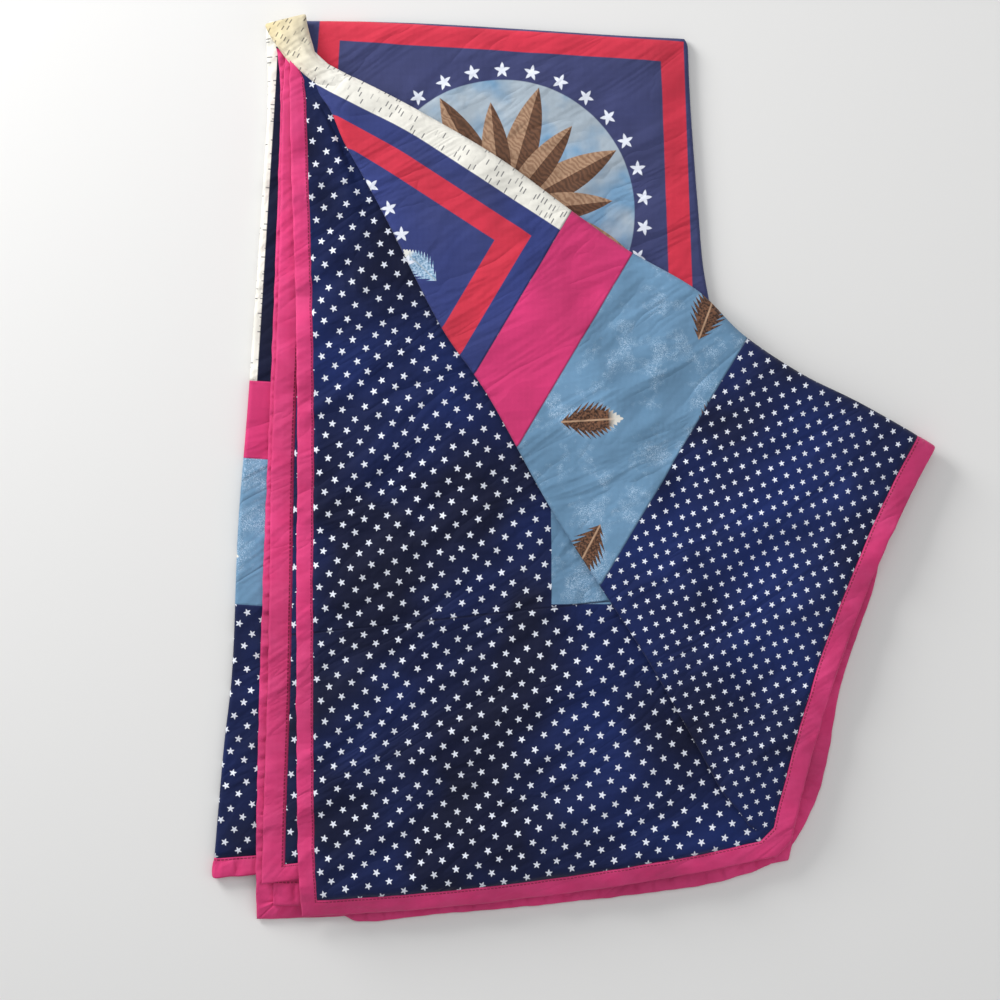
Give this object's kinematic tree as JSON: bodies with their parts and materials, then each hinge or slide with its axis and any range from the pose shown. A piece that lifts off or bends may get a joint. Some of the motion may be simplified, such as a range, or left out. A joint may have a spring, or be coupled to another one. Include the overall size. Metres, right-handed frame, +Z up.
{
  "type": "patchwork quilt blanket",
  "caption": "Patchwork star quilt with a bound edge, gathered at one corner and laid down in a fan of flat folded layers.",
  "frame": {"origin": "on the floor, below the middle of the laid quilt's outline", "axes": "+Z up from the floor, +Y towards the gathered corner and the quilt's upper edge, +X towards the free right corner"},
  "size_m": [0.7984, 0.9952, 0.0387],
  "materials": {
    "quilt_cotton": "matt printed quilting cotton",
    "binding_cotton": "soft satin crimson cotton"
  },
  "bodies": {
    "root": {"quilt_cloth": "quilt_cotton", "near_binding": "binding_cotton", "inner_binding": "binding_cotton", "lower_binding": "binding_cotton"}
  },
  "joints": []
}
